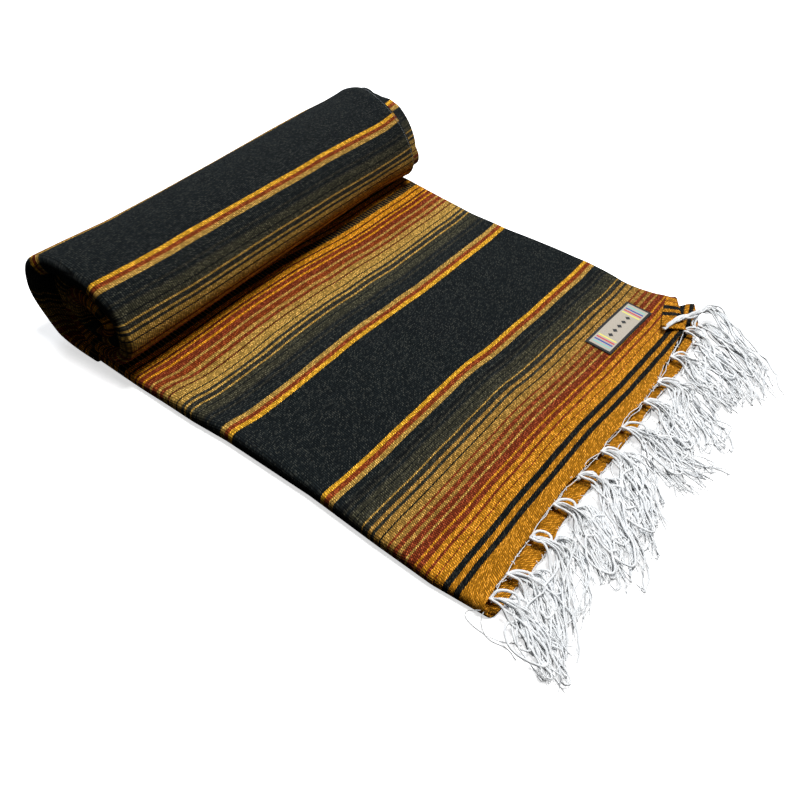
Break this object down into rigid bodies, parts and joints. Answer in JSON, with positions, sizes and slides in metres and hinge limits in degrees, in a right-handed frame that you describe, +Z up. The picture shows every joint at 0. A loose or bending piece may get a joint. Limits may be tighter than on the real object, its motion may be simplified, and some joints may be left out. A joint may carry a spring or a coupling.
{
  "type": "serape blanket",
  "caption": "Striped serape blanket, folded lengthways, half rolled up and half laid flat, with knotted fringe along its open end and a woven label",
  "frame": {"origin": "on the floor under the middle of the whole blanket, fringe included", "axes": "+Z up; +X from the roll towards the fringed end; +Y along the roll, from the folded side to the side with the selvedges"},
  "size_m": [0.5429, 0.4449, 0.0916],
  "materials": {
    "woven_cloth": "matte, woven in ribs",
    "cotton_fringe": "matte, loose yarn",
    "label_tape": "matte, close weave"
  },
  "bodies": {
    "root": {"flat_upper_layer": "woven_cloth", "flat_lower_layers": "woven_cloth", "corner_flap": "woven_cloth", "roll_outer_wrap": "woven_cloth", "roll_inner_wraps": "woven_cloth", "upper_fringe": "cotton_fringe", "lower_fringe": "cotton_fringe", "corner_tassel": "cotton_fringe", "woven_label": "label_tape"}
  },
  "joints": []
}
